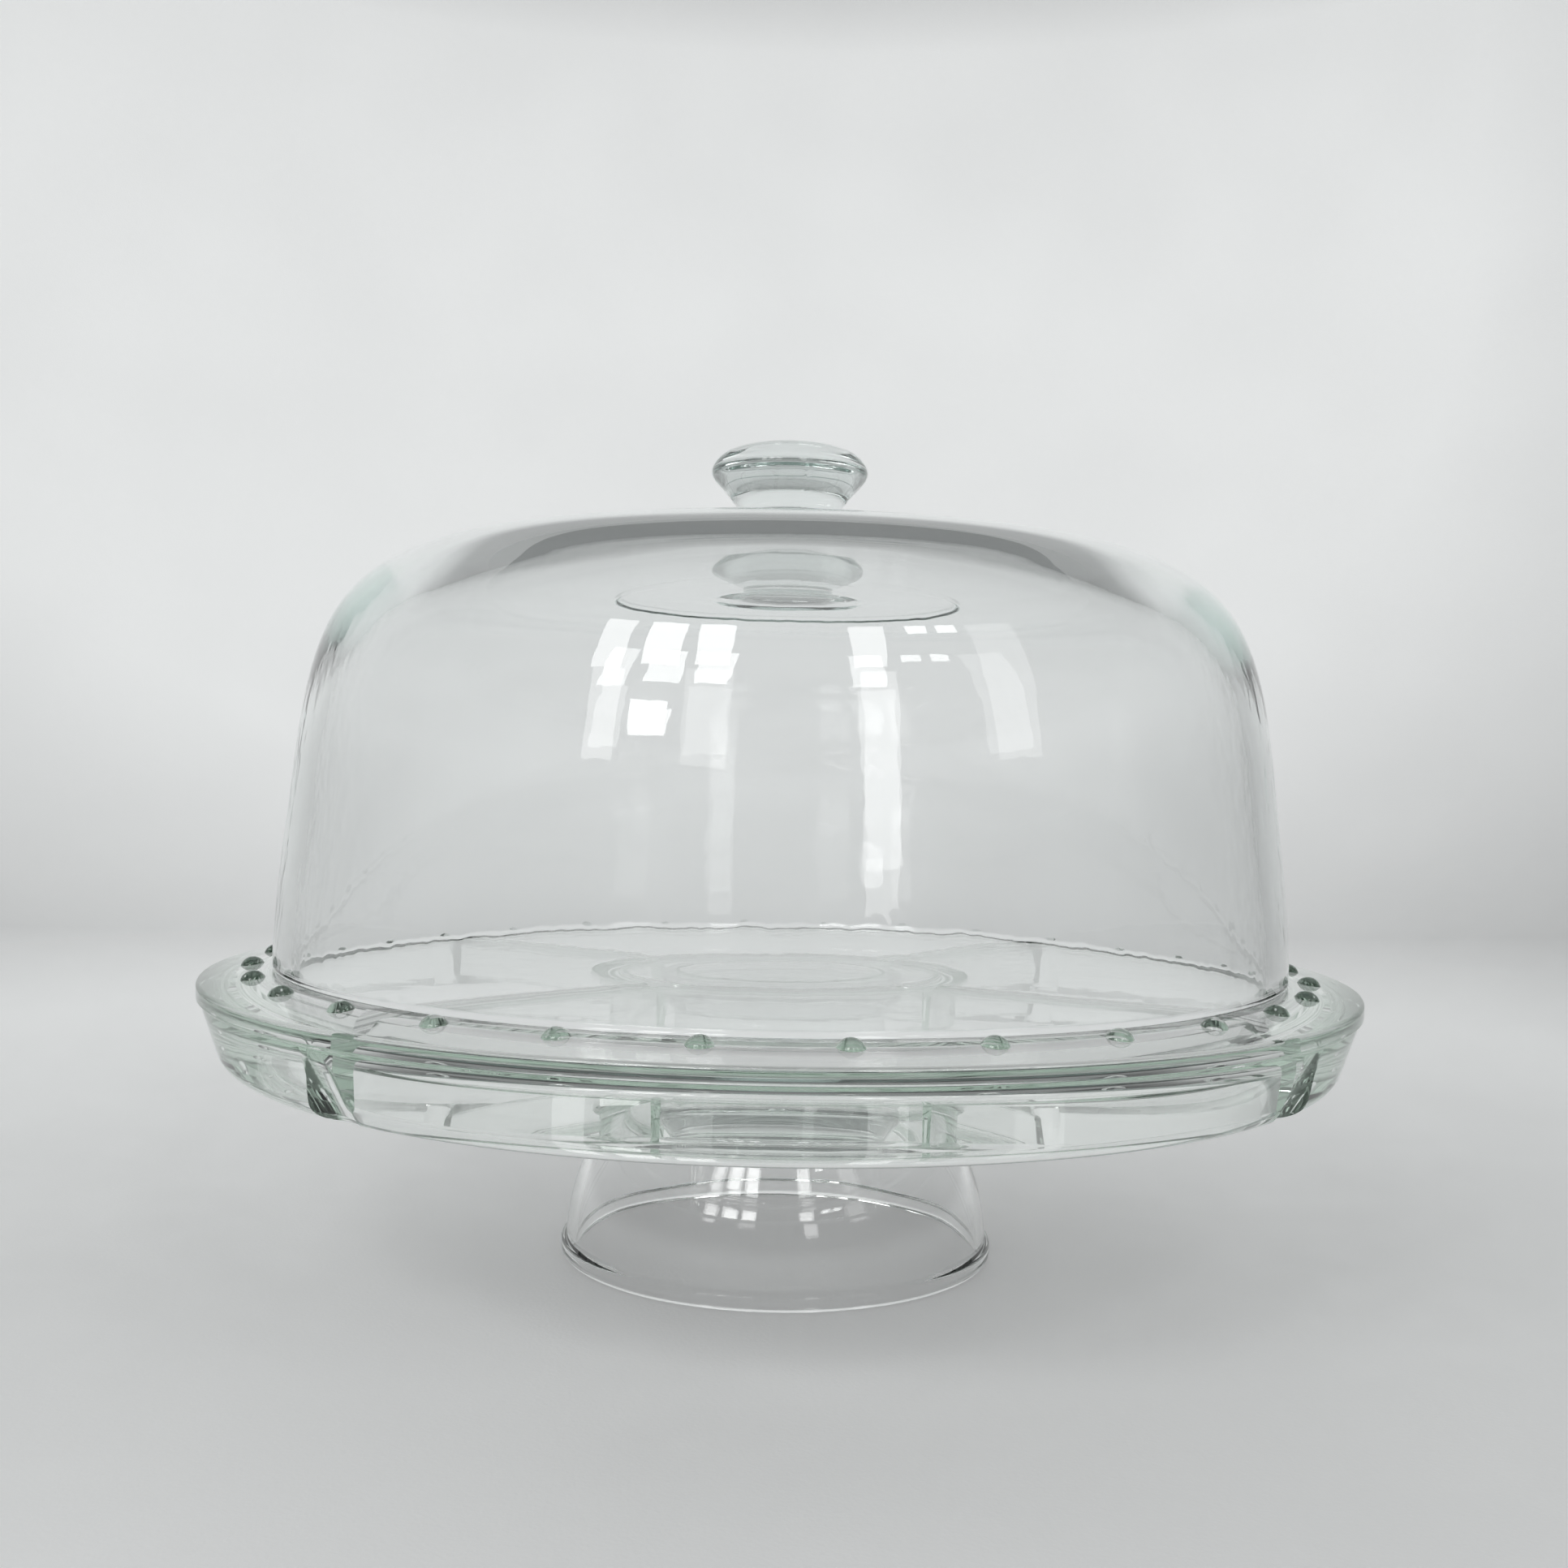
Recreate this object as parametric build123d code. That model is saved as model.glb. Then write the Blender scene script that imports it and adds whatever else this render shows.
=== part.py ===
from build123d import *
import math
import os

# Glass domed cake stand in millimetres: a pedestal bowl, a ribbed platter and a knobbed dome.
# All three are turned about Z, and Z = 0 is the surface that the pedestal stands on.

# Pedestal: a footed dip bowl standing upside down on its rim
PEDESTAL_H = 73.0           # up to the platter's underside
PEDESTAL_RIM_R = 58.7
PEDESTAL_RIM_INNER_R = 54.9
PEDESTAL_RIM_H = 5.0
PEDESTAL_WALL = 3.0
PEDESTAL_SIDE = [(57.4, 5.0), (55.6, 17.0), (53.0, 24.6), (45.6, 38.5), (35.5, 49.5)]
PEDESTAL_NECK_R = 28.6
PEDESTAL_NECK_Z = 55.4      # where the side would meet the neck, before rounding
SEAT_RING_R = 33.0          # ring that carries the platter
SEAT_RING_INNER_R = 29.2
SEAT_RING_H = 4.5
SEAT_FLARE_Z = 64.0         # the neck flares out to the seat ring from here
SEAT_RECESS = 2.5
PEDESTAL_CEILING = 57.5     # top of the hollow
PEDESTAL_HOLLOW_SHOULDER_R = 17.0
PEDESTAL_HOLLOW_SHOULDER_DROP = 2.4

# Platter: a thick plate with a skirt, ribs and a well underneath
PLATTER_R = 152.4           # 12 in across
PLATE_TOP = 79.0
PLATE_FLAT_R = 136.8        # the level part of the top
RIM_EDGE_TOP = 76.9
RIM_EDGE_BOTTOM = 73.2
RIM_STEP = 0.9
SKIRT_BOTTOM = 55.8
SKIRT_FOOT_R = 146.0
SKIRT_CORNER = 6.0
SKIRT_INNER_TOP_R = 137.2
SKIRT_INNER_FOOT_R = 138.2
PRESSED_CORNER = 2.0        # rounding of the ribs and of the well
RIB_BOTTOM = 59.6           # the ribs and the well stop short of the skirt's edge
RIB_T = 5.0
RIB_DRAFT = 1.0             # each side, from the rib's edge up to the plate
RIB_COUNT = 4
FIRST_RIB_ANGLE = 45.0
WELL_R = 49.3               # outside of the well's wall
WELL_WALL = 4.8
BOSS_R = 28.4               # centres the pedestal's seat ring
BOSS_H = 1.2

# Thumb notches in the skirt, one outside the end of each rib
NOTCH_R = 11.5
NOTCH_TOP = 71.0
NOTCH_DEPTH = 4.6           # at the skirt's lower edge

# Beads that keep the dome centred
BEAD_COUNT = 30
BEAD_CIRCLE_R = 139.5
BEAD_D = 6.0
BEAD_H = 2.0
FIRST_BEAD_ANGLE = -90.0

# Dome: its side as radius, height and wall thickness, from above the lip to the shoulder
LIP_R = 134.3
LIP_H = 1.5                 # the side starts at this height above the plate
LIP_ROUND = 1.2
LIP_WALL = 5.5
DOME_SIDE = [
    (133.3, 99.0, 6.0),
    (130.3, 126.8, 6.2),
    (125.4, 157.1, 6.4),
    (119.4, 171.4, 7.3),
    (111.3, 180.4, 7.7),
    (100.2, 186.8, 7.2),
]
CROWN_EDGE_R = 82.0
CROWN_SPHERE_R = 1000.0
CROWN_WALL = 6.6
DOME_TOP = 194.0
CROWN_STEP_R = 48.0         # the crown is a little thinner inside this radius
CROWN_STEP = 0.6
CROWN_STEP_RUN = 1.2
DIMPLE_R = 20.6             # shallow dish under the knob
DIMPLE_DEPTH = 1.3
KNOB_PAD_R = 22.0           # level patch that the knob's foot is fused to

# Knob, as radius and height above the pad
KNOB_FOOT_R = 20.5
KNOB_H = 26.8
KNOB_SIDE = [(14.6, 2.3), (12.5, 6.6), (14.2, 9.4), (18.1, 14.2), (21.4, 19.2), (19.0, 23.2)]
KNOB_TOP_R = 13.8           # edge of the slightly domed top
KNOB_TOP_EDGE = 25.7

OVERLAP = 1.0               # how far a feature reaches into the body it is joined to


def turned(*lines):
    """Turn a closed chain of lines, drawn as radius against height, about Z."""
    return revolve(Plane.XZ * make_face(list(lines)), axis=Axis.Z)


def turned_outline(outline):
    """Turn a closed outline of (radius, height, corner radius) about Z."""
    points = [(r, z) for r, z, corner in outline]
    corners = [corner for r, z, corner in outline]
    return turned(FilletPolyline(*points, radius=corners, close=True))


def inset_point(curve, at, depth):
    """The point at a depth to the left of a curve, at a fraction of its length."""
    along = curve % at
    return curve @ at + Vector(-along.Y, along.X) * depth


def cap(edge, centre_z):
    """A shallow bulge from its edge to the axis, level at the axis."""
    half_way = (edge.X / 2, centre_z - (centre_z - edge.Y) / 4)
    return Spline(edge, half_way, (0, centre_z), tangents=[(-edge.X, 2 * (centre_z - edge.Y)), (-1, 0)])


def crown_height(radius):
    """Height of the dome's outer crown at a radius."""
    return DOME_TOP - radius**2 / (2 * CROWN_SPHERE_R)


def spokes(count, first_angle):
    """Rotations that place a feature count times around Z."""
    return [Rot(Z=first_angle + 360 * i / count) for i in range(count)]


def make_pedestal():
    outside = Spline(*PEDESTAL_SIDE, tangents=[(-0.05, 1), (-1, 0.85)])
    seat = FilletPolyline(
        outside @ 1,
        (PEDESTAL_NECK_R, PEDESTAL_NECK_Z),
        (PEDESTAL_NECK_R, SEAT_FLARE_Z),
        (SEAT_RING_R, PEDESTAL_H - SEAT_RING_H),
        (SEAT_RING_R, PEDESTAL_H),
        (SEAT_RING_INNER_R, PEDESTAL_H),
        (SEAT_RING_INNER_R, PEDESTAL_H - SEAT_RECESS),
        (0, PEDESTAL_H - SEAT_RECESS),
        radius=[5.0, 3.0, 1.5, 1.0, 0.8, 1.0],
    )
    hollow = Spline(
        (0, PEDESTAL_CEILING),
        (PEDESTAL_HOLLOW_SHOULDER_R, PEDESTAL_CEILING - PEDESTAL_HOLLOW_SHOULDER_DROP),
        *[inset_point(outside, at, PEDESTAL_WALL) for at in (0.9, 0.7, 0.5, 0.25, 0)],
        tangents=[(1, 0), -(outside % 0)],
    )
    rim = FilletPolyline(
        hollow @ 1,
        (PEDESTAL_RIM_INNER_R, 2.0),
        (PEDESTAL_RIM_INNER_R, 0),
        (PEDESTAL_RIM_R, 0),
        (PEDESTAL_RIM_R, PEDESTAL_RIM_H - 1.0),
        outside @ 0,
        radius=[1.0, 1.0, 1.6, 1.4],
    )
    return turned(outside, seat, Line(seat @ 1, hollow @ 0), hollow, rim)


def make_plate_blank():
    underside = PEDESTAL_H
    well_inner_r = WELL_R - WELL_WALL
    return turned_outline(
        [
            (0, PLATE_TOP, 0),
            (PLATE_FLAT_R, PLATE_TOP, 3.0),
            (PLATTER_R, RIM_EDGE_TOP, 1.2),
            (PLATTER_R, RIM_EDGE_BOTTOM, 0.6),
            (PLATTER_R - RIM_STEP, RIM_EDGE_BOTTOM - 0.7, 0.6),
            (SKIRT_FOOT_R, SKIRT_BOTTOM, SKIRT_CORNER),
            (SKIRT_INNER_FOOT_R, SKIRT_BOTTOM, 2.2),
            (SKIRT_INNER_TOP_R, underside, 4.0),
            (WELL_R + 0.5, underside, PRESSED_CORNER),
            (WELL_R - 0.3, RIB_BOTTOM, PRESSED_CORNER),
            (well_inner_r + 0.3, RIB_BOTTOM, PRESSED_CORNER),
            (well_inner_r - 0.5, underside, PRESSED_CORNER),
            (BOSS_R, underside, 0.3),
            (BOSS_R, underside - BOSS_H, 0.6),
            (0, underside - BOSS_H, 0),
        ]
    )


def make_rib():
    """One rib from the well to the skirt, along +X, rounded along its lower edge."""
    start = WELL_R - OVERLAP
    end = SKIRT_INNER_FOOT_R + OVERLAP
    root = PEDESTAL_H + OVERLAP
    section = make_face(
        FilletPolyline(
            (-RIB_T / 2 - RIB_DRAFT, root),
            (-RIB_T / 2, RIB_BOTTOM),
            (RIB_T / 2, RIB_BOTTOM),
            (RIB_T / 2 + RIB_DRAFT, root),
            radius=[0, PRESSED_CORNER, PRESSED_CORNER, 0],
            close=True,
        )
    )
    return Pos(X=start) * extrude(Plane.YZ * section, amount=end - start)


def make_notch():
    """A round cutter that leans in towards the skirt's lower edge, at +X."""
    height = NOTCH_TOP - SKIRT_BOTTOM
    skirt_slope = (PLATTER_R - RIM_STEP - SKIRT_FOOT_R) / (RIM_EDGE_BOTTOM - SKIRT_BOTTOM)
    lean = math.atan2(NOTCH_DEPTH + skirt_slope * height, height)
    axis_r = SKIRT_FOOT_R - NOTCH_DEPTH + NOTCH_R / math.cos(lean)
    cutter = Cylinder(NOTCH_R, 4 * height)
    return Pos(axis_r, 0, SKIRT_BOTTOM) * Rot(Y=math.degrees(lean)) * cutter


def make_platter():
    platter = make_plate_blank()
    rib = make_rib()
    notch = make_notch()
    for turn in spokes(RIB_COUNT, FIRST_RIB_ANGLE):
        platter = platter + turn * rib
        platter = platter - turn * notch
    bead_sphere_r = ((BEAD_D / 2) ** 2 + BEAD_H**2) / (2 * BEAD_H)
    rim_slope = (PLATE_TOP - RIM_EDGE_TOP) / (PLATTER_R - PLATE_FLAT_R)
    bead_base = PLATE_TOP - (BEAD_CIRCLE_R - PLATE_FLAT_R) * rim_slope
    bead = Pos(BEAD_CIRCLE_R, 0, bead_base + BEAD_H - bead_sphere_r) * Sphere(bead_sphere_r)
    return platter + [turn * bead for turn in spokes(BEAD_COUNT, FIRST_BEAD_ANGLE)]


def make_dome_shell():
    pad_z = crown_height(KNOB_PAD_R)
    crown_edge_z = crown_height(CROWN_EDGE_R)
    outer_points = [(LIP_R, PLATE_TOP + LIP_H)]
    outer_points += [(r, z) for r, z, wall in DOME_SIDE]
    outer_points += [(CROWN_EDGE_R, crown_edge_z)]
    walls = [LIP_WALL] + [wall for r, z, wall in DOME_SIDE] + [CROWN_WALL]
    upwards = (-0.01, 1)
    inwards = (-CROWN_SPHERE_R, CROWN_EDGE_R)
    side = Spline(*outer_points, tangents=[upwards, inwards])
    crown_half_way = (CROWN_EDGE_R + KNOB_PAD_R) / 2
    crown = Spline(side @ 1, (crown_half_way, crown_height(crown_half_way)), (KNOB_PAD_R, pad_z))
    pad = Line(crown @ 1, (0, pad_z))
    inner_points = []
    for point, wall in zip(outer_points, walls):
        inner_points.append(inset_point(side, side.param_at_point(point), wall))
    inner_side = Spline(*inner_points, tangents=[upwards, inwards])
    step_z = crown_height(CROWN_STEP_R) - CROWN_WALL
    dish_z = crown_height(DIMPLE_R) - CROWN_WALL + CROWN_STEP
    inner_half_way = (CROWN_EDGE_R + CROWN_STEP_R) / 2
    inner_crown = Spline(
        inner_side @ 1,
        (inner_half_way, crown_height(inner_half_way) - CROWN_WALL),
        (CROWN_STEP_R, step_z),
    )
    inner_top = FilletPolyline(
        inner_crown @ 1,
        (CROWN_STEP_R - CROWN_STEP_RUN, step_z + CROWN_STEP),
        (DIMPLE_R, dish_z),
        radius=[0.6],
    )
    dish = cap(inner_top @ 1, dish_z + DIMPLE_DEPTH)
    axis = Line(dish @ 1, pad @ 1)
    lip = FilletPolyline(
        inner_side @ 0,
        (LIP_R - LIP_WALL, PLATE_TOP),
        (LIP_R, PLATE_TOP),
        side @ 0,
        radius=[LIP_ROUND, LIP_ROUND],
    )
    return turned(side, crown, pad, axis, dish, inner_top, inner_crown, inner_side, lip)


def make_dome_knob():
    foot_z = crown_height(KNOB_PAD_R)
    side = Spline(
        (KNOB_FOOT_R, foot_z),
        *[(r, foot_z + z) for r, z in KNOB_SIDE],
        (KNOB_TOP_R, foot_z + KNOB_TOP_EDGE),
        tangents=[(-1, 0.1), (-1, 0.22)],
        tangent_scalars=[0.7, 0.7],
    )
    top = cap(side @ 1, foot_z + KNOB_H)
    return turned(side, top, Line(top @ 1, (0, foot_z)), Line((0, foot_z), side @ 0))


def main():
    nodes = {
        "pedestal_bowl": make_pedestal(),
        "platter": make_platter(),
        "dome_shell": make_dome_shell(),
        "dome_knob": make_dome_knob(),
    }
    os.makedirs("parts", exist_ok=True)
    for name, shape in nodes.items():
        export_step(shape, f"parts/{name}.step")


main()
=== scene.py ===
"""Clear glass cake stand with a knobbed dome: the looks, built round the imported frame."""

import math

import bmesh
import bpy
import numpy as np
from mathutils import Matrix, Vector, noise


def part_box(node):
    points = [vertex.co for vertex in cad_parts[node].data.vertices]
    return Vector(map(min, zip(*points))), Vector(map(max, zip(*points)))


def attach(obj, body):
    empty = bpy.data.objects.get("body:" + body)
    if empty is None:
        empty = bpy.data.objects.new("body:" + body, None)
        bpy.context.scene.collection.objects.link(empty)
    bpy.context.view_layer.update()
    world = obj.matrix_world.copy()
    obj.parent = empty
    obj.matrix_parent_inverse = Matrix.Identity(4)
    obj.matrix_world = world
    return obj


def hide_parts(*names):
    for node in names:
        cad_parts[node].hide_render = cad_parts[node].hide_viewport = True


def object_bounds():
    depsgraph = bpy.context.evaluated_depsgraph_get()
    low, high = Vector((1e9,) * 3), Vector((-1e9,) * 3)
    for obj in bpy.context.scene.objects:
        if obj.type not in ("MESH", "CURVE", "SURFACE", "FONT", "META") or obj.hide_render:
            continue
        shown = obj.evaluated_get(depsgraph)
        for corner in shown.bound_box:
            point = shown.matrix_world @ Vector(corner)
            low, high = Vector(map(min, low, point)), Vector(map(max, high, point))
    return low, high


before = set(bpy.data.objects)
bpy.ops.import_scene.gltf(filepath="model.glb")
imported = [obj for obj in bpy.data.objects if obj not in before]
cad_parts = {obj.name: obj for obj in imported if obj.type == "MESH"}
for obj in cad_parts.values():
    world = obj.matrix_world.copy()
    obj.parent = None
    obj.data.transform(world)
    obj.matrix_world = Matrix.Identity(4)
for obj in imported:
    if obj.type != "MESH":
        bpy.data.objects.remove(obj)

CAD_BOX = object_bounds()
MM = 0.001
HAIR = 0.05             # mm left between two glass faces that touch
FOOT_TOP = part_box("pedestal_bowl")[1][2] / MM
PLATE_TOP_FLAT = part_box("dome_shell")[0][2] / MM

# ---------------------------------------------------------------- outlines (radius, height) in mm



def rounded(outline, arc_step=0.35):
    """Points along an open outline of (radius, height, corner radius), its corners turned as arcs."""
    points = [np.array(p[:2], float) for p in outline]
    made = [points[0]]
    for i in range(1, len(outline) - 1):
        corner, size = points[i], outline[i][2]
        back = points[i - 1] - corner
        on = points[i + 1] - corner
        back, on = back / np.linalg.norm(back), on / np.linalg.norm(on)
        opening = math.acos(np.clip(back @ on, -1, 1))
        if size <= 0 or opening > math.pi - 1e-3:
            made.append(corner)
            continue
        reach = size / math.tan(opening / 2)
        middle = corner + (back + on) / np.linalg.norm(back + on) * size / math.sin(opening / 2)
        start, end = corner + back * reach - middle, corner + on * reach - middle
        sweep = math.pi - opening
        count = max(4, math.ceil(size * sweep / arc_step))
        for k in range(count + 1):
            a, b = math.sin(sweep * (1 - k / count)), math.sin(sweep * k / count)
            made.append(middle + (start * a + end * b) / math.sin(sweep))
    made.append(points[-1])
    return made


def smooth(points, start, end, step=1.2):
    """Points along the natural smooth curve through a few points, with a direction at each end."""
    p = np.array(points, float)
    length = np.concatenate([[0], np.cumsum(np.linalg.norm(np.diff(p, axis=0), axis=1))])
    h = np.diff(length)
    n = len(p)
    rows = np.zeros((n, n))
    right = np.zeros((n, 2))
    rows[0, 0] = rows[-1, -1] = 1
    right[0] = np.array(start, float) / np.linalg.norm(start)
    right[-1] = np.array(end, float) / np.linalg.norm(end)
    for i in range(1, n - 1):
        rows[i, i - 1 : i + 2] = h[i], 2 * (h[i - 1] + h[i]), h[i - 1]
        right[i] = 3 * (h[i] * (p[i] - p[i - 1]) / h[i - 1] + h[i - 1] * (p[i + 1] - p[i]) / h[i])
    slope = np.linalg.solve(rows, right)
    made = []
    for i in range(n - 1):
        count = max(2, math.ceil(h[i] / step))
        for k in range(count + (i == n - 2)):
            t = k / count
            made.append(
                (2 * t**3 - 3 * t**2 + 1) * p[i]
                + (t**3 - 2 * t**2 + t) * h[i] * slope[i]
                + (3 * t**2 - 2 * t**3) * p[i + 1]
                + (t**3 - t**2) * h[i] * slope[i + 1]
            )
    return made


def inset(curve, depth):
    """The same curve at a constant depth to its left."""
    c = np.array(curve)
    along = np.gradient(c, axis=0)
    along /= np.linalg.norm(along, axis=1)[:, None]
    return list(c + np.stack([-along[:, 1], along[:, 0]], 1) * depth)


def divided(points, step):
    """The same chain of points with its long straight runs divided."""
    made = [points[0]]
    for a, b in zip(points, points[1:]):
        gap = np.linalg.norm(np.subtract(b, a))
        if gap < 1e-6:
            continue
        count = max(1, math.ceil(gap / step))
        made += [np.array(a) + (np.array(b) - a) * k / count for k in range(1, count + 1)]
    return made


# ---------------------------------------------------------------- meshes


def lathe(name, points, segments):
    """A closed body turned about Z from a chain of points that starts and ends on the axis."""
    r = np.array([p[0] for p in points[1:-1]]) * MM
    z = np.array([p[1] for p in points[1:-1]]) * MM
    around = np.arange(segments) * 2 * math.pi / segments
    x = np.outer(r, np.cos(around))
    y = np.outer(r, np.sin(around))
    zz = np.repeat(z[:, None], segments, 1)
    verts = np.stack([x, y, zz], -1).reshape(-1, 3).tolist()
    first, last = len(verts), len(verts) + 1
    verts += [(0, 0, points[0][1] * MM), (0, 0, points[-1][1] * MM)]
    faces = []
    rings = len(r)
    for j in range(segments):
        k = (j + 1) % segments
        faces.append((first, j, k))
        for i in range(rings - 1):
            a, b = i * segments, (i + 1) * segments
            faces.append((a + j, b + j, b + k, a + k))
        end = (rings - 1) * segments
        faces.append((last, end + k, end + j))
    mesh = bpy.data.meshes.new(name)
    mesh.from_pydata(verts, [], faces)
    return finished(name, mesh)


def finished(name, mesh):
    """An object of this mesh, with its faces turned outwards."""
    bm = bmesh.new()
    bm.from_mesh(mesh)
    bmesh.ops.recalc_face_normals(bm, faces=bm.faces)
    bm.to_mesh(mesh)
    bm.free()
    piece = bpy.data.objects.new(name, mesh)
    bpy.context.scene.collection.objects.link(piece)
    return piece


def apply_modifiers(piece):
    """Replace a piece's mesh by what its modifiers make of it."""
    bpy.context.view_layer.update()
    made = bpy.data.meshes.new_from_object(piece.evaluated_get(bpy.context.evaluated_depsgraph_get()))
    piece.modifiers.clear()
    piece.data = made


def combine(piece, other, operation):
    """Join another closed body to a piece, or cut it away."""
    step = piece.modifiers.new(operation.lower(), "BOOLEAN")
    step.operation = operation
    step.solver = "MANIFOLD"
    step.object = other
    apply_modifiers(piece)
    bpy.data.objects.remove(other)


def shade(piece, sharp_above):
    """Smooth shading that keeps flat faces flat, and edges sharper than an angle in degrees crisp."""
    piece.data.shade_smooth()
    piece.data.set_sharp_from_angle(angle=math.radians(sharp_above))
    even = piece.modifiers.new("even_normals", "WEIGHTED_NORMAL")
    even.mode = "FACE_AREA"
    even.keep_sharp = True
    apply_modifiers(piece)


def ripple(piece, depth, scale, seed):
    """Push a surface in and out by a soft irregular wave, as blown glass has."""
    mesh = piece.data
    normals = [v.normal.copy() for v in mesh.vertices]
    for v, normal in zip(mesh.vertices, normals):
        v.co += normal * noise.noise(v.co / scale + Vector((seed, seed, seed))) * depth
    mesh.update()


# ---------------------------------------------------------------- pedestal

PEDESTAL_WALL = 3.0
PEDESTAL_SIDE = [(57.4, 5), (55.6, 17), (53, 24.6), (45.6, 38.5), (35.5, 49.5)]
RIM_R = 58.7
RIM_INNER_R = 54.9
NECK_R = 28.6
NECK_Z = 55.4
SEAT_FLARE_Z = 64.0
SEAT_RING_R = 33.0
SEAT_RING_INNER_R = 29.2
SEAT_RING_H = 4.5
SEAT_RECESS = 2.5
HOLLOW_TOP = [(17, 55.1), (0, 57.5)]


def make_pedestal():
    """The upturned bowl: hollow below, with a short foot and a seat ring above."""
    outside = smooth(PEDESTAL_SIDE, (-0.05, 1), (-1, 0.85))
    top = FOOT_TOP - HAIR
    foot = rounded(
        [
            (*outside[-1], 0),
            (NECK_R, NECK_Z, 5.0),
            (NECK_R, SEAT_FLARE_Z, 3.0),
            (SEAT_RING_R, SEAT_FLARE_Z + SEAT_RING_H, 1.5),
            (SEAT_RING_R, top, 1.0),
            (SEAT_RING_INNER_R, top, 0.8),
            (SEAT_RING_INNER_R, top - SEAT_RECESS, 1.0),
            (0, top - SEAT_RECESS, 0),
        ]
    )
    wall = inset(outside, PEDESTAL_WALL)
    few = [wall[round(at * (len(wall) - 1))] for at in (0, 0.25, 0.5, 0.7, 0.9)]
    hollow = smooth([*few, *HOLLOW_TOP], wall[1] - wall[0], (-1, 0))
    rim = rounded(
        [
            (*outside[0], 0),
            (RIM_R, 4.0, 1.4),
            (RIM_R, 0, 1.6),
            (RIM_INNER_R, 0, 1.0),
            (RIM_INNER_R, 2.0, 1.0),
            (*hollow[0], 0),
        ]
    )
    chain = foot[::-1] + outside[::-1] + rim + hollow
    return lathe("pedestal_bowl_glass", divided(chain, 1.6), segments=288)


# ---------------------------------------------------------------- platter

PLATTER_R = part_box("platter")[1][0] / MM
SKIRT_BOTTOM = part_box("platter")[0][2] / MM
PLATE_FLAT_R = 136.8
RIM_EDGE_TOP = 76.9
RIM_EDGE_BOTTOM = 73.2
RIM_STEP = 0.9
SKIRT_FOOT_R = 146.0
SKIRT_INNER_R = 138.2
RIB_BOTTOM = 59.6
RIB_T = 5.0
WELL_R = 49.3
BOSS_R = 28.4
BOSS_H = 1.2
RIB_ANGLES = [math.radians(45 + 90 * i) for i in range(4)]
BEAD_ANGLES = [math.radians(-90 + 12 * i) for i in range(30)]
BEAD_CIRCLE_R = 139.5
BEAD_SPHERE_R = 3.25
BEAD_H = 2.0
NOTCH_R = 11.5
NOTCH_TOP = 71.0
NOTCH_DEPTH = 4.6


def make_ribs():
    """Four radial ribs with rounded edges, flared into the plate."""
    root = FOOT_TOP + 0.01
    section = rounded(
        [
            (-9, root, 0),
            (-RIB_T / 2 - 1, root, 2.0),
            (-RIB_T / 2, RIB_BOTTOM, 2.0),
            (RIB_T / 2, RIB_BOTTOM, 2.0),
            (RIB_T / 2 + 1, root, 2.0),
            (9, root, 0),
        ]
    )
    section += [np.array((9, root + 2)), np.array((-9, root + 2))]
    start, end = WELL_R - 1.5, SKIRT_INNER_R + 1.5
    bm = bmesh.new()
    for angle in RIB_ANGLES:
        turn = Matrix.Rotation(angle, 3, "Z")
        ends = [[bm.verts.new(turn @ Vector((r, y, z)) * MM) for y, z in section] for r in (start, end)]
        bm.faces.new(ends[0])
        bm.faces.new(ends[1][::-1])
        for k in range(len(section)):
            n = (k + 1) % len(section)
            bm.faces.new((ends[0][k], ends[1][k], ends[1][n], ends[0][n]))
    return from_bmesh("ribs", bm)


def from_bmesh(name, bm):
    """An object made from this bmesh, which is used up."""
    mesh = bpy.data.meshes.new(name)
    bm.to_mesh(mesh)
    bm.free()
    return finished(name, mesh)


def make_notches():
    """Round cutters that lean in towards the skirt's lower edge, at the ends of the ribs."""
    height = NOTCH_TOP - SKIRT_BOTTOM
    skirt_slope = (PLATTER_R - RIM_STEP - SKIRT_FOOT_R) / (RIM_EDGE_BOTTOM - SKIRT_BOTTOM)
    lean = math.atan2(NOTCH_DEPTH + skirt_slope * height, height)
    axis_r = SKIRT_FOOT_R - NOTCH_DEPTH + NOTCH_R / math.cos(lean)
    bm = bmesh.new()
    for angle in RIB_ANGLES:
        place = (
            Matrix.Rotation(angle, 4, "Z")
            @ Matrix.Translation(Vector((axis_r, 0, SKIRT_BOTTOM)) * MM)
            @ Matrix.Rotation(lean, 4, "Y")
        )
        bmesh.ops.create_cone(
            bm,
            cap_ends=True,
            segments=96,
            radius1=NOTCH_R * MM,
            radius2=NOTCH_R * MM,
            depth=4 * height * MM,
            matrix=place,
        )
    return from_bmesh("notches", bm)


def make_beads():
    """The ring of small round beads on the rim."""
    slope = (PLATE_TOP_FLAT - RIM_EDGE_TOP) / (PLATTER_R - PLATE_FLAT_R)
    centre_z = PLATE_TOP_FLAT - (BEAD_CIRCLE_R - PLATE_FLAT_R) * slope + BEAD_H - BEAD_SPHERE_R
    bm = bmesh.new()
    for angle in BEAD_ANGLES:
        place = Matrix.Rotation(angle, 4, "Z") @ Matrix.Translation(Vector((BEAD_CIRCLE_R, 0, centre_z)) * MM)
        bmesh.ops.create_uvsphere(bm, u_segments=32, v_segments=24, radius=BEAD_SPHERE_R * MM, matrix=place)
    return from_bmesh("beads", bm)


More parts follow.
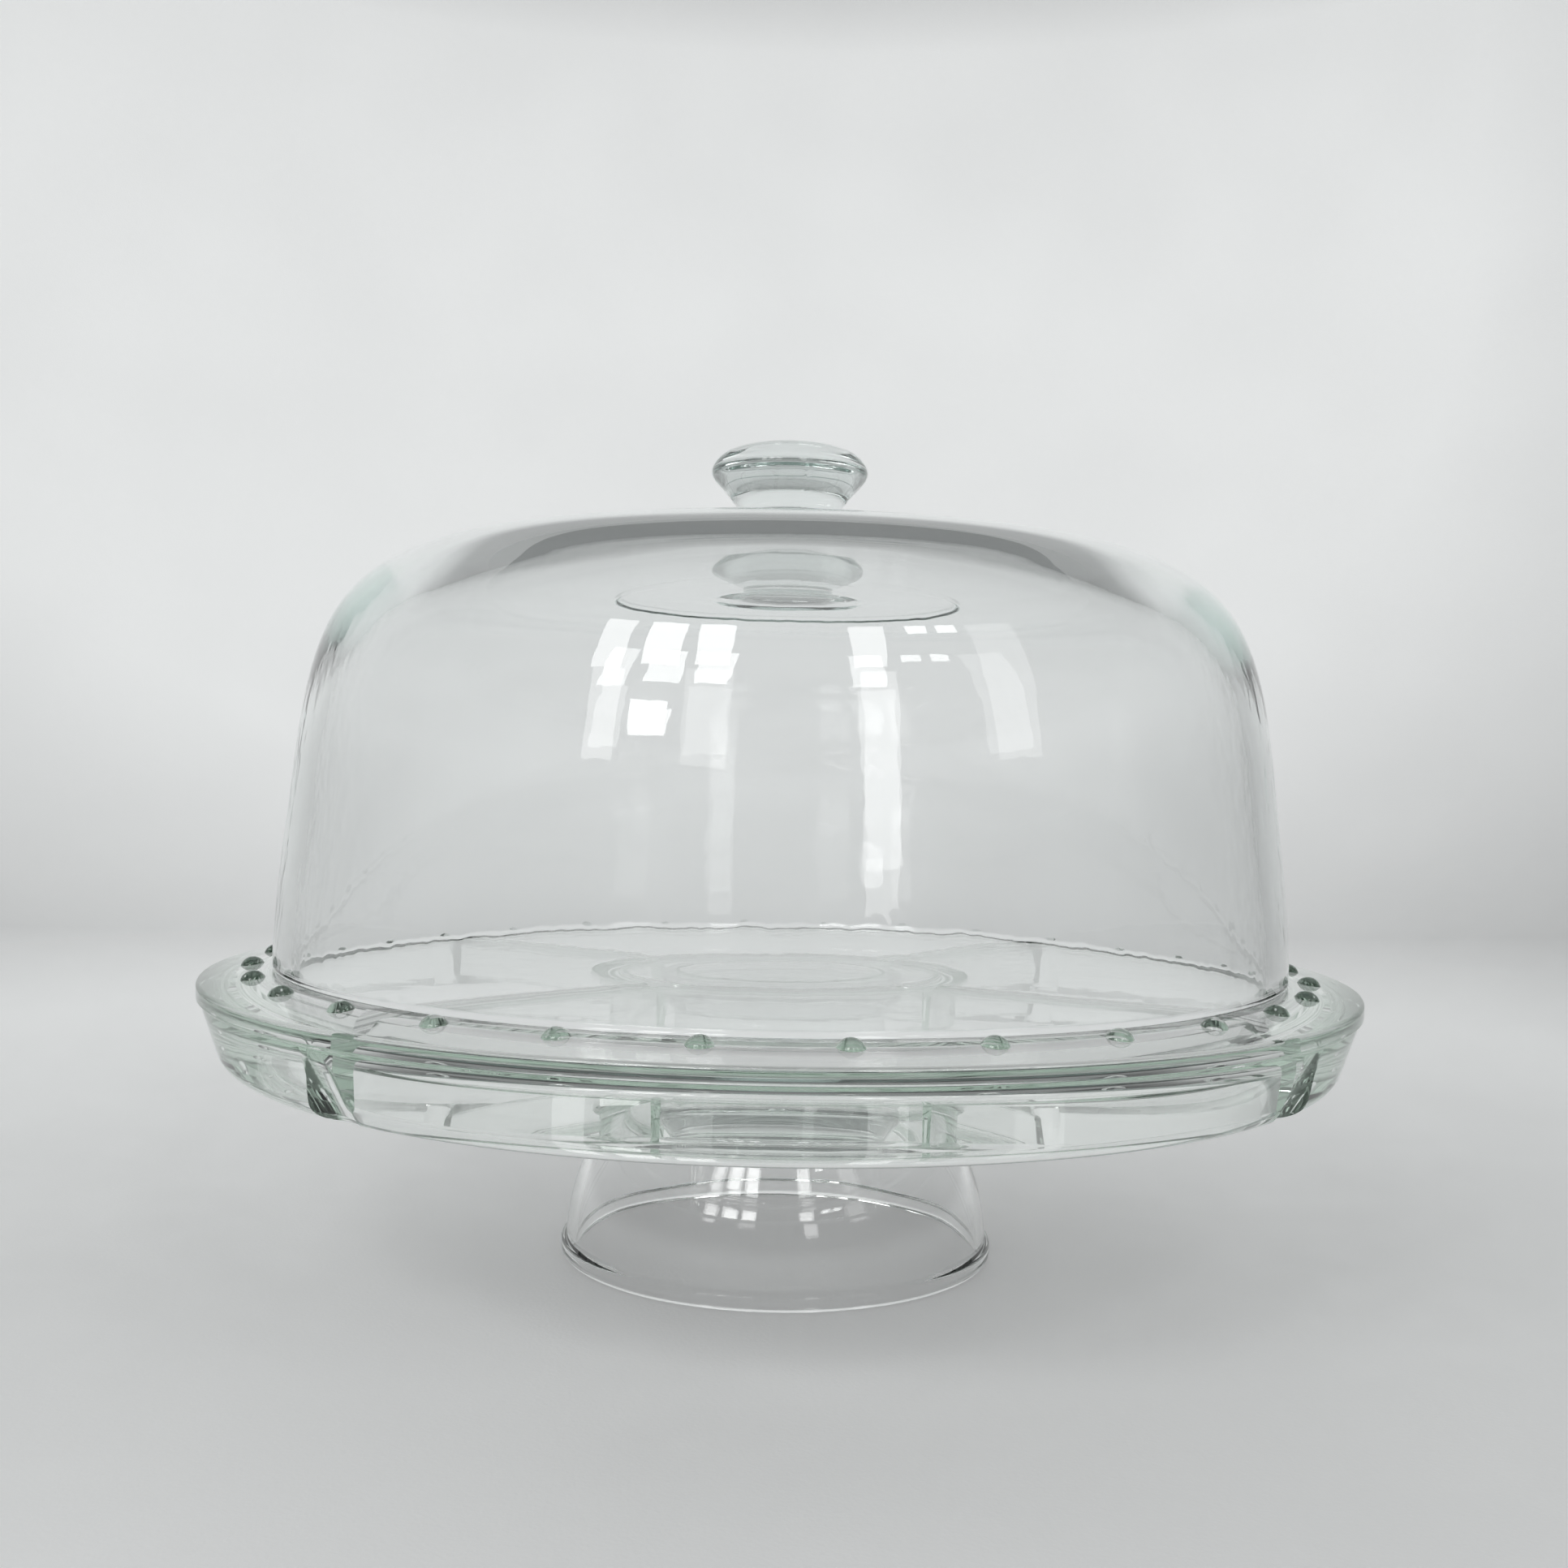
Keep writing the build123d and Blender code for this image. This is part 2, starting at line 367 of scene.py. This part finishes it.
def make_platter():
    """The pressed plate: level top, sloping beaded rim, heavy skirt, and ribs round a centre well."""
    underside = FOOT_TOP
    outline = rounded(
        [
            (0, PLATE_TOP_FLAT, 0),
            (PLATE_FLAT_R, PLATE_TOP_FLAT, 3.0),
            (PLATTER_R, RIM_EDGE_TOP, 1.2),
            (PLATTER_R, RIM_EDGE_BOTTOM, 0.6),
            (PLATTER_R - RIM_STEP, RIM_EDGE_BOTTOM - 0.7, 0.6),
            (SKIRT_FOOT_R, SKIRT_BOTTOM, 6.0),
            (SKIRT_INNER_R, SKIRT_BOTTOM, 2.2),
            (SKIRT_INNER_R - 1, underside, 4.0),
            (WELL_R + 0.5, underside, 2.0),
            (WELL_R - 0.3, RIB_BOTTOM, 2.0),
            (WELL_R - 4.5, RIB_BOTTOM, 2.0),
            (WELL_R - 5.3, underside, 2.0),
            (BOSS_R, underside, 0.3),
            (BOSS_R, underside - BOSS_H, 0.6),
            (0, underside - BOSS_H, 0),
        ]
    )
    platter = lathe("platter_glass", divided(outline, 2.5), segments=360)
    combine(platter, make_ribs(), "UNION")
    combine(platter, make_notches(), "DIFFERENCE")
    combine(platter, make_beads(), "UNION")
    return platter


# ---------------------------------------------------------------- dome and knob

LIP_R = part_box("dome_shell")[1][0] / MM
LIP_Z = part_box("dome_shell")[0][2] / MM
DOME_TOP = 194.0
DOME_SIDE = [
    (LIP_R, LIP_Z + 1.5, 5.5),
    (133.3, 99, 6.0),
    (130.3, 126.8, 6.2),
    (125.4, 157.1, 6.4),
    (119.4, 171.4, 7.3),
    (111.3, 180.4, 7.7),
    (100.2, 186.8, 7.2),
]
CROWN_SPHERE_R = 1000.0
CROWN_EDGE_R = 82.0
CROWN_WALL = 6.6
CROWN_STEP_R = 48.0
CROWN_STEP = 0.6        # the crown's middle is thinner by this much, over a short run
CROWN_STEP_RUN = 0.2
DIMPLE_R = 20.6
DIMPLE_DEPTH = 1.2
KNOB_PAD_R = 22.0
KNOB_H = 26.8
KNOB_SIDE = [
    (20.5, 0),
    (14.6, 2.3),
    (12.5, 6.6),
    (14.2, 9.4),
    (18.1, 14.2),
    (21.4, 19.2),
    (19, 23.2),
    (13.8, 25.7),
]
KNOB_CAP_EDGE = (6.9, 26.5)
SEAM_AZIMUTH = math.radians(-82)
SEAM_START_H = 3.0      # the mould seam shows from this height above the knob's foot
SEAM_H = 0.12
SEAM_WIDTH = 0.45
SEAM_MIN_R = 8.0


def crown_height(radius):
    """Top of the crown, a shallow sphere."""
    return DOME_TOP - radius**2 / (2 * CROWN_SPHERE_R)


def inner_crown_height(radius):
    """Underside of the crown, raised in a shallow dish below the knob."""
    below = crown_height(radius) - CROWN_WALL
    if radius < DIMPLE_R:
        below += DIMPLE_DEPTH * (1 - (radius / DIMPLE_R) ** 2)
    beyond = radius - CROWN_STEP_R + CROWN_STEP
    return below + CROWN_STEP / (1 + math.exp(beyond / CROWN_STEP_RUN))


def make_dome():
    """The dome with its solid knob, one body of glass."""
    pad = crown_height(KNOB_PAD_R)
    knob = smooth([(r, pad + z) for r, z in KNOB_SIDE], (-1, 0.1), (-1, 0.3), step=0.7)
    cap_edge = (KNOB_CAP_EDGE[0], pad + KNOB_CAP_EDGE[1])
    knob_cap = smooth([knob[-1], cap_edge, (0, pad + KNOB_H)], (-1, 0.16), (-1, 0))
    outer = [(r, z) for r, z, wall in DOME_SIDE] + [(CROWN_EDGE_R, crown_height(CROWN_EDGE_R))]
    walls = [wall for r, z, wall in DOME_SIDE] + [CROWN_WALL]
    upwards, inwards = (-0.01, 1), (-CROWN_SPHERE_R, CROWN_EDGE_R)
    side = smooth(outer, upwards, inwards)
    inner = []
    for point, wall in zip(outer, walls):
        nearest = int(np.argmin([np.linalg.norm(np.subtract(p, point)) for p in side]))
        inner.append(inset(side, wall)[nearest])
    inner_side = smooth(inner, upwards, inwards)
    crown = [np.array((r, crown_height(r))) for r in np.linspace(CROWN_EDGE_R, KNOB_PAD_R, 40)]
    radii = [
        *np.linspace(inner_side[-1][0] - 1, 50, 20),
        *np.linspace(49.5, 45.5, 15),
        *np.linspace(44, 0, 36),
    ]
    inner_crown = [np.array((r, inner_crown_height(r))) for r in radii]
    lip_z = LIP_Z + HAIR
    lip = rounded(
        [
            (*side[0], 0),
            (LIP_R, lip_z, 1.3),
            (LIP_R - DOME_SIDE[0][2], lip_z, 1.3),
            (*inner_side[0], 0),
        ]
    )
    chain = knob_cap[::-1] + knob[::-1] + crown[::-1] + side[::-1] + lip + inner_side + inner_crown
    dome = lathe("dome_glass", divided(chain, 1.5), segments=320)
    raise_seam(dome, pad + SEAM_START_H)
    return dome


def raise_seam(dome, lowest):
    """A faint mould seam up the knob, a ridge on one side."""
    seam = Vector((math.cos(SEAM_AZIMUTH), math.sin(SEAM_AZIMUTH), 0))
    across = Vector((-seam.y, seam.x, 0))
    for v in dome.data.vertices:
        if v.co.z > lowest * MM:
            beside = v.co.dot(across) / MM
            out = Vector((v.co.x, v.co.y, 0))
            if out.length > SEAM_MIN_R * MM:
                v.co += out.normalized() * SEAM_H * MM * math.exp(-((beside / SEAM_WIDTH) ** 2))


# ---------------------------------------------------------------- materials


def new_material(name):
    """An empty node material."""
    mat = bpy.data.materials.new(name)
    mat.use_nodes = True
    mat.node_tree.nodes.clear()
    return mat


def add(mat, kind, **settings):
    """A node with its inputs set by name; an input given another node's output is linked to it."""
    node = mat.node_tree.nodes.new(kind)
    for key, value in settings.items():
        name = key.replace("_", " ")
        if name in node.inputs:
            if isinstance(value, bpy.types.NodeSocket):
                mat.node_tree.links.new(value, node.inputs[name])
            else:
                node.inputs[name].default_value = value
        else:
            setattr(node, key, value)
    return node


def noise_at(mat, scale, detail=3.0, stretch=(1, 1, 1)):
    """Noise in the object's own metres, scale being cycles per metre."""
    place = add(mat, "ShaderNodeTexCoord").outputs["Object"]
    mapped = add(mat, "ShaderNodeMapping", Vector=place, Scale=stretch)
    return add(mat, "ShaderNodeTexNoise", Vector=mapped.outputs[0], Scale=scale, Detail=detail).outputs["Fac"]


def spread(mat, value, low, high, start=0.3, end=0.7):
    """Map a value from start..end to low..high, held at both ends."""
    ramp = add(mat, "ShaderNodeMapRange", Value=value)
    for name, number in (("From Min", start), ("From Max", end), ("To Min", low), ("To Max", high)):
        ramp.inputs[name].default_value = number
    return ramp.outputs[0]


def glass(name, tint, density, wave_mm, wave_depth_mm, calm=None, stretch=(1, 1, 1)):
    """Clear soda-lime glass: tinted in its depth, faintly wavy, with a trace of handling on the surface.

    The waves die away between the two heights of calm, in metres.
    """
    mat = new_material(name)
    wave = noise_at(mat, 1000 / wave_mm, 2.0, stretch)
    wavy = add(mat, "ShaderNodeBump", Strength=1.0, Distance=wave_depth_mm * MM, Height=wave)
    if calm:
        place = add(mat, "ShaderNodeTexCoord").outputs["Object"]
        height = add(mat, "ShaderNodeSeparateXYZ", Vector=place).outputs["Z"]
        mat.node_tree.links.new(spread(mat, height, 1.0, 0.1, *calm), wavy.inputs["Strength"])
    smudge = spread(mat, noise_at(mat, 55, 2.0), 0.0, 0.02, 0.55, 0.8)
    shader = add(
        mat,
        "ShaderNodeBsdfPrincipled",
        Base_Color=(1, 1, 1, 1),
        Roughness=smudge,
        IOR=1.52,
        Normal=wavy.outputs[0],
    )
    shader.inputs["Transmission Weight"].default_value = 1.0
    depth = add(mat, "ShaderNodeVolumeAbsorption", Color=(*tint, 1), Density=density)
    out = add(mat, "ShaderNodeOutputMaterial")
    mat.node_tree.links.new(shader.outputs[0], out.inputs["Surface"])
    mat.node_tree.links.new(depth.outputs[0], out.inputs["Volume"])
    return mat


# ---------------------------------------------------------------- the pieces in place


def dress(piece, body, material, nodes):
    """Give a piece its material and the body it moves with, and hide the CAD nodes it stands for."""
    piece.data.materials.clear()
    piece.data.materials.append(material)
    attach(piece, body)
    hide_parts(*nodes)


def build_object():
    """Make the three pieces of glass and put each on its body."""
    pedestal = make_pedestal()
    platter = make_platter()
    dome = make_dome()
    ripple(dome, depth=0.05 * MM, scale=40 * MM, seed=3.0)
    ripple(pedestal, depth=0.05 * MM, scale=22 * MM, seed=9.0)
    for piece in (pedestal, platter, dome):
        shade(piece, sharp_above=33)
    dress(
        pedestal,
        "pedestal",
        glass("pedestal_glass", (0.80, 0.87, 0.84), density=9.0, wave_mm=14, wave_depth_mm=0.012),
        ["pedestal_bowl"],
    )
    dress(
        platter,
        "platter",
        glass("platter_glass", (0.78, 0.86, 0.805), density=11.0, wave_mm=16, wave_depth_mm=0.010),
        ["platter"],
    )
    dress(
        dome,
        "dome",
        glass(
            "dome_glass",
            (0.79, 0.88, 0.855),
            density=10.0,
            wave_mm=9,
            wave_depth_mm=0.05,
            calm=(0.150, 0.176),
            stretch=(1, 1, 0.6),
        ),
        ["dome_shell", "dome_knob"],
    )


# ---------------------------------------------------------------- studio

FLOOR_FLAT_R = 0.38
FLOOR_Z = -0.0001
SWEEP_R = 0.9
SWEEP_H = 1.1
SWEEP_STEPS = 24
SWEEP_SIDES = 96
# Painted light: emission strengths of the sweep's paint, brightest behind the object, standing in for light
# falling on the backdrop and floor
BACKDROP_PAINTED_LIGHT = 0.5
LEAST_PAINTED_LIGHT = 0.25
DARK_PAINT = (0.10, 0.10, 0.10, 1)
PALE_PAINT = (0.86, 0.87, 0.87, 1)
ROOM_LIGHT = (0.82, 0.85, 0.85, 1)
ROOM_STRENGTH = 0.25


def make_sweep():
    """A pale floor that curves up into a wall all round, darker near its top as painted shade, and open
    above.
    """
    rise = SWEEP_R - FLOOR_FLAT_R
    profile = [(FLOOR_FLAT_R, FLOOR_Z)]
    for k in range(1, SWEEP_STEPS + 1):
        a = math.pi / 2 * k / SWEEP_STEPS
        profile.append((FLOOR_FLAT_R + rise * math.sin(a), rise * (1 - math.cos(a)) + FLOOR_Z))
    profile.append((SWEEP_R, SWEEP_H))
    bm = bmesh.new()
    rings = []
    for r, z in profile:
        around = [2 * math.pi * j / SWEEP_SIDES for j in range(SWEEP_SIDES)]
        rings.append([bm.verts.new((r * math.cos(a), r * math.sin(a), z)) for a in around])
    bm.faces.new(rings[0])
    for low, high in zip(rings, rings[1:]):
        for j in range(SWEEP_SIDES):
            k = (j + 1) % SWEEP_SIDES
            bm.faces.new((low[j], high[j], high[k], low[k]))
    mesh = bpy.data.meshes.new("sweep")
    bm.to_mesh(mesh)
    bm.free()
    mesh.shade_smooth()
    mesh.materials.append(sweep_material())
    piece = bpy.data.objects.new("sweep", mesh)
    bpy.context.scene.collection.objects.link(piece)


def sweep_material():
    """Matt paint: pale and softly glowing behind the object, pale on the floor, dark elsewhere. The glow
    everywhere is painted light, and the darkening near the wall's top is painted shade.
    """
    mat = new_material("pale_sweep_painted_light")
    place = add(mat, "ShaderNodeTexCoord").outputs["Object"]
    axes = add(mat, "ShaderNodeSeparateXYZ", Vector=place).outputs
    behind = spread(mat, axes["Y"], 0.0, 1.0, -0.2, 0.7)
    on_floor = spread(mat, axes["Z"], 1.0, 0.0, 0.01, 0.12)
    pale = add(mat, "ShaderNodeMath", operation="MAXIMUM")
    mat.node_tree.links.new(behind, pale.inputs[0])
    mat.node_tree.links.new(on_floor, pale.inputs[1])
    shades = add(mat, "ShaderNodeMix", data_type="RGBA", Factor=pale.outputs[0])
    shades.inputs["A"].default_value = DARK_PAINT
    shades.inputs["B"].default_value = PALE_PAINT
    mottled = spread(mat, noise_at(mat, 9, 1.0), 0.97, 1.0)
    # Painted shade: paint and glow both darken towards the top of the wall
    painted_top_shade = spread(mat, axes["Z"], 1.0, 0.55, 0.71, 0.84)
    weight = add(mat, "ShaderNodeMath", operation="MULTIPLY")
    mat.node_tree.links.new(mottled, weight.inputs[0])
    mat.node_tree.links.new(painted_top_shade, weight.inputs[1])
    tone = add(mat, "ShaderNodeMix", data_type="RGBA", blend_type="MULTIPLY", Factor=1.0)
    mat.node_tree.links.new(shades.outputs["Result"], tone.inputs["A"])
    mat.node_tree.links.new(weight.outputs[0], tone.inputs["B"])
    rough = spread(mat, noise_at(mat, 60, 1.0), 0.6, 0.8)
    bump = add(mat, "ShaderNodeBump", Strength=0.2, Distance=0.0003, Height=noise_at(mat, 900, 1.0))
    shader = add(mat, "ShaderNodeBsdfPrincipled", Roughness=rough, Normal=bump.outputs[0])
    # Painted light: the sweep's paint glows in its own tone, most behind the object, as if lit
    painted_light = spread(mat, behind, LEAST_PAINTED_LIGHT, BACKDROP_PAINTED_LIGHT, 0.2, 1.0)
    mat.node_tree.links.new(tone.outputs["Result"], shader.inputs["Base Color"])
    mat.node_tree.links.new(tone.outputs["Result"], shader.inputs["Emission Color"])
    mat.node_tree.links.new(painted_light, shader.inputs["Emission Strength"])
    out = add(mat, "ShaderNodeOutputMaterial")
    mat.node_tree.links.new(shader.outputs[0], out.inputs["Surface"])
    return mat


def softbox(name, azimuths, elevations, distance, radiance):
    """A lamp that spans two ranges of direction from the object, in degrees.

    Azimuth 0 is behind a viewer who looks along +Y.
    """
    lamp = bpy.data.lights.new(name, "AREA")
    lamp.shape = "RECTANGLE"
    spans = [math.radians(high - low) for low, high in (azimuths, elevations)]
    lamp.size, lamp.size_y = [2 * distance * math.tan(span / 2) for span in spans]
    lamp.energy = radiance * math.pi * lamp.size * lamp.size_y
    a, e = [math.radians(sum(pair) / 2) for pair in (azimuths, elevations)]
    out = Vector((math.sin(a) * math.cos(e), -math.cos(a) * math.cos(e), math.sin(e)))
    holder = bpy.data.objects.new(name, lamp)
    holder.location = TARGET + out * distance
    holder.rotation_euler = out.to_track_quat("Z", "Y").to_euler()
    holder.visible_camera = False
    bpy.context.scene.collection.objects.link(holder)


TARGET = (CAD_BOX[0] + CAD_BOX[1]) / 2
PANE_DISTANCE = 0.8
# Each lamp's name, azimuths and elevations in degrees, and radiance
PANES = [
    ("left_pane_far_high", (-47, -41), (25, 38), 6),
    ("left_pane_far_low", (-46, -40), (12, 25), 2.7),
    ("left_pane_middle_high", (-36, -29), (26.5, 38), 8),
    ("left_pane_middle_low", (-37, -30), (14.5, 19.5), 8),
    ("left_pane_near_high", (-24.5, -18), (27, 38), 8),
    ("left_pane_near_low", (-26, -17), (12, 26), 1.6),
    ("right_pane_near_high", (9, 15.5), (27, 38), 6),
    ("right_pane_near_low", (10, 17), (6, 26), 2.7),
    ("right_lamp_near", (22, 26), (35.5, 38), 8),
    ("right_lamp_far", (29, 33), (35.5, 38), 8),
    ("right_pane_far", (37, 47), (12, 38), 1.6),
]


def light_studio():
    """Window-like lamps on the viewer's side, and a dim even room."""
    for name, azimuths, elevations, radiance in PANES:
        softbox(name, azimuths, elevations, PANE_DISTANCE, radiance)
    world = bpy.data.worlds.new("room")
    world.use_nodes = True
    room = world.node_tree.nodes["Background"]
    room.inputs["Color"].default_value = ROOM_LIGHT
    room.inputs["Strength"].default_value = ROOM_STRENGTH
    bpy.context.scene.world = world
    bpy.context.scene.view_settings.view_transform = "Standard"


# ---------------------------------------------------------------- camera

LIGHT_BOUNCES = 26
CAMERA_DISTANCE = 0.4596
CAMERA_HEIGHT = 0.133
CAMERA_AZIMUTH = math.radians(-5.7)
CAMERA_TILT = -0.012
CAMERA_ROLL = 0.019
CAMERA_LENS = 38.27


def place_camera():
    """The viewer, turned about the object's axis and held almost level."""
    camera = bpy.data.objects.new("camera", bpy.data.cameras.new("camera"))
    camera.data.lens = CAMERA_LENS
    camera.data.sensor_width = 36.0
    camera.data.clip_start = 0.01
    turn = Matrix.Rotation(CAMERA_AZIMUTH, 4, "Z")
    look = Matrix.Rotation(math.pi / 2 + CAMERA_TILT, 4, "X") @ Matrix.Rotation(CAMERA_ROLL, 4, "Z")
    camera.matrix_world = turn @ Matrix.Translation((0, -CAMERA_DISTANCE, CAMERA_HEIGHT)) @ look
    bpy.context.scene.collection.objects.link(camera)
    bpy.context.scene.camera = camera


def set_light_paths():
    """Enough bounces for light to pass through every layer of glass."""
    cycles = bpy.context.scene.cycles
    cycles.max_bounces = LIGHT_BOUNCES
    cycles.transmission_bounces = LIGHT_BOUNCES
    cycles.glossy_bounces = LIGHT_BOUNCES
    cycles.diffuse_bounces = 3


build_object()
make_sweep()
light_studio()
place_camera()
set_light_paths()
